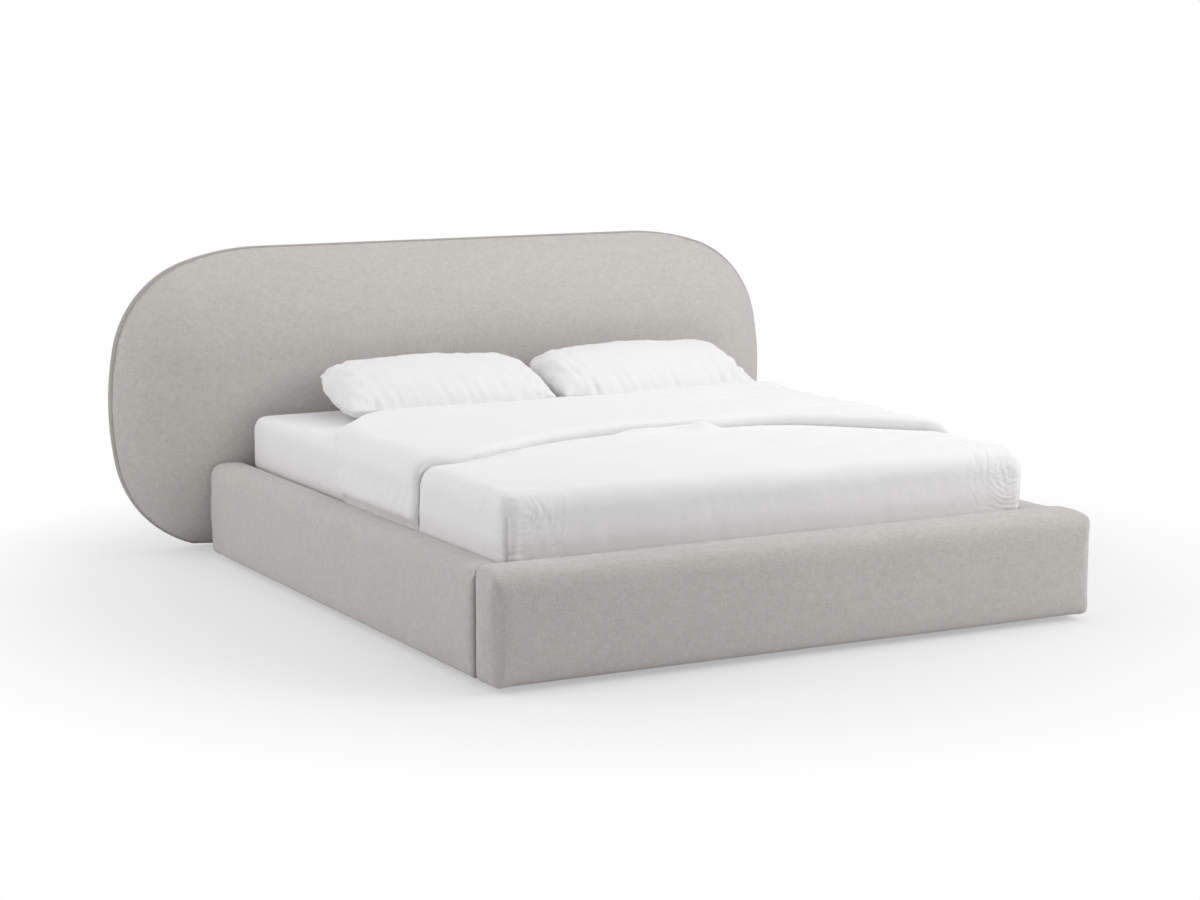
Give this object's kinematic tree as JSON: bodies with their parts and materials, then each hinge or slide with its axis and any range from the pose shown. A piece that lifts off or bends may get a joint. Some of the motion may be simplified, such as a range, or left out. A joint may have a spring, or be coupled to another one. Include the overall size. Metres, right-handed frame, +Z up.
{
  "type": "storage bed",
  "caption": "Upholstered storage bed with padded rails, a wide rounded headboard, made-up bedding, and a slatted platform that lifts at the foot on sprung arms to open the storage beneath.",
  "frame": {"origin": "on the floor, in the middle of the width and of the length over the footboard and the headboard", "axes": "+X towards the right side of the bed seen from the foot, +Y from the foot to the head, +Z up"},
  "size_m": [2.632, 2.49, 1.06],
  "materials": {
    "upholstery": "warm light grey chenille, fine weave",
    "board": "plain wood board",
    "batten": "planed softwood",
    "floor_board": "pale faced board",
    "glide": "black plastic",
    "slat": "birch, clear lacquer",
    "holder": "black plastic",
    "platform_steel": "satin black",
    "lift_steel": "satin black",
    "zinc_steel": "zinc plated",
    "strut_body": "gloss black",
    "strut_chrome": "polished",
    "webbing": "black woven webbing",
    "mattress_sheet": "white fitted sheet",
    "duvet_linen": "white washed cotton",
    "pillow_linen": "white washed cotton"
  },
  "bodies": {
    "frame": {"headboard_panel": "upholstery", "headboard_pad": "upholstery", "headboard_mounts": "board", "mount_plates": "zinc_steel", "mount_bolts": "zinc_steel", "head_board": "board", "footboard_board": "board", "footboard_pad": "upholstery", "corner_brackets": "zinc_steel", "corner_bolts": "zinc_steel", "lift_base_bolts": "zinc_steel", "frame_glides": "glide", "cross_ledgers": "batten", "centre_bearer": "batten", "bearer_glides": "glide", "platform_rests": "batten", "floor_panel_1": "floor_board", "floor_panel_2": "floor_board", "floor_panel_3": "floor_board", "side_board_left": "board", "side_board_right": "board", "side_pad_left": "upholstery", "side_pad_right": "upholstery", "side_ledger_left": "batten", "side_ledger_right": "batten", "lift_base_left": "lift_steel", "lift_base_right": "lift_steel", "lift_base_pins_left": "zinc_steel", "lift_base_pins_right": "zinc_steel"},
    "platform": {"platform_foot_tube": "platform_steel", "platform_head_tube": "platform_steel", "platform_centre_tube": "platform_steel", "platform_tube_left": "platform_steel", "platform_tube_right": "platform_steel", "slat_holders_left": "holder", "slat_holders_right": "holder", "slat_holders_centre": "holder", "slats_left": "slat", "slats_right": "slat", "mattress_stop_bar": "platform_steel", "pull_loop": "webbing", "lift_plate_left": "platform_steel", "lift_plate_right": "platform_steel", "lift_plate_pins_left": "zinc_steel", "lift_plate_pins_right": "zinc_steel", "mattress": "mattress_sheet", "duvet": "duvet_linen", "pillow_left": "pillow_linen", "pillow_right": "pillow_linen"},
    "main_arm_left": {"main_arm_left": "lift_steel"},
    "guide_arm_left": {"guide_arm_left": "lift_steel"},
    "strut_cylinder_left": {"strut_cylinder_left": "strut_body"},
    "strut_rod_left": {"strut_rod_left": "strut_chrome"},
    "main_arm_right": {"main_arm_right": "lift_steel"},
    "guide_arm_right": {"guide_arm_right": "lift_steel"},
    "strut_cylinder_right": {"strut_cylinder_right": "strut_body"},
    "strut_rod_right": {"strut_rod_right": "strut_chrome"}
  },
  "joints": [
    {"name": "lift_left", "type": "hinge", "parent": "frame", "child": "main_arm_left", "pos_m": [-0.902, 0.294, 0.2], "axis": [1, 0, 0], "range_deg": [0, 76.3]},
    {"name": "lift_right", "type": "hinge", "parent": "frame", "child": "main_arm_right", "pos_m": [0.902, 0.294, 0.2], "axis": [1, 0, 0], "range_deg": [0, 76.3]},
    {"name": "platform_tilt", "type": "hinge", "parent": "main_arm_left", "child": "platform", "pos_m": [-0.902, 0.59, 0.232], "axis": [1, 0, 0], "range_deg": [-111.5, 0]},
    {"name": "guide_left", "type": "hinge", "parent": "frame", "child": "guide_arm_left", "pos_m": [-0.893, 0.18, 0.099], "axis": [1, 0, 0], "range_deg": [0, 65.8]},
    {"name": "strut_turn_left", "type": "hinge", "parent": "frame", "child": "strut_cylinder_left", "pos_m": [-0.868, 0.502, 0.062], "axis": [1, 0, 0], "range_deg": [0, 72.1]},
    {"name": "strut_slide_left", "type": "slide", "parent": "strut_cylinder_left", "child": "strut_rod_left", "axis": [0, 0.8262, 0.5634], "range_m": [0, 0.115]},
    {"name": "guide_right", "type": "hinge", "parent": "frame", "child": "guide_arm_right", "pos_m": [0.893, 0.18, 0.099], "axis": [1, 0, 0], "range_deg": [0, 65.8]},
    {"name": "strut_turn_right", "type": "hinge", "parent": "frame", "child": "strut_cylinder_right", "pos_m": [0.868, 0.502, 0.062], "axis": [1, 0, 0], "range_deg": [0, 72.1]},
    {"name": "strut_slide_right", "type": "slide", "parent": "strut_cylinder_right", "child": "strut_rod_right", "axis": [0, 0.8262, 0.5634], "range_m": [0, 0.115]}
  ],
  "couplings": [
    {"joint": "lift_right", "follows": "lift_left", "ratio": 1},
    {"joint": "platform_tilt", "follows": "lift_left", "ratio": -1.4587},
    {"joint": "guide_left", "follows": "lift_left", "ratio": 0.861},
    {"joint": "strut_turn_left", "follows": "lift_left", "ratio": 0.9441},
    {"joint": "strut_slide_left", "follows": "lift_left", "m_per_rad": 0.08597},
    {"joint": "guide_right", "follows": "lift_left", "ratio": 0.861},
    {"joint": "strut_turn_right", "follows": "lift_left", "ratio": 0.9441},
    {"joint": "strut_slide_right", "follows": "lift_left", "m_per_rad": 0.08597}
  ]
}
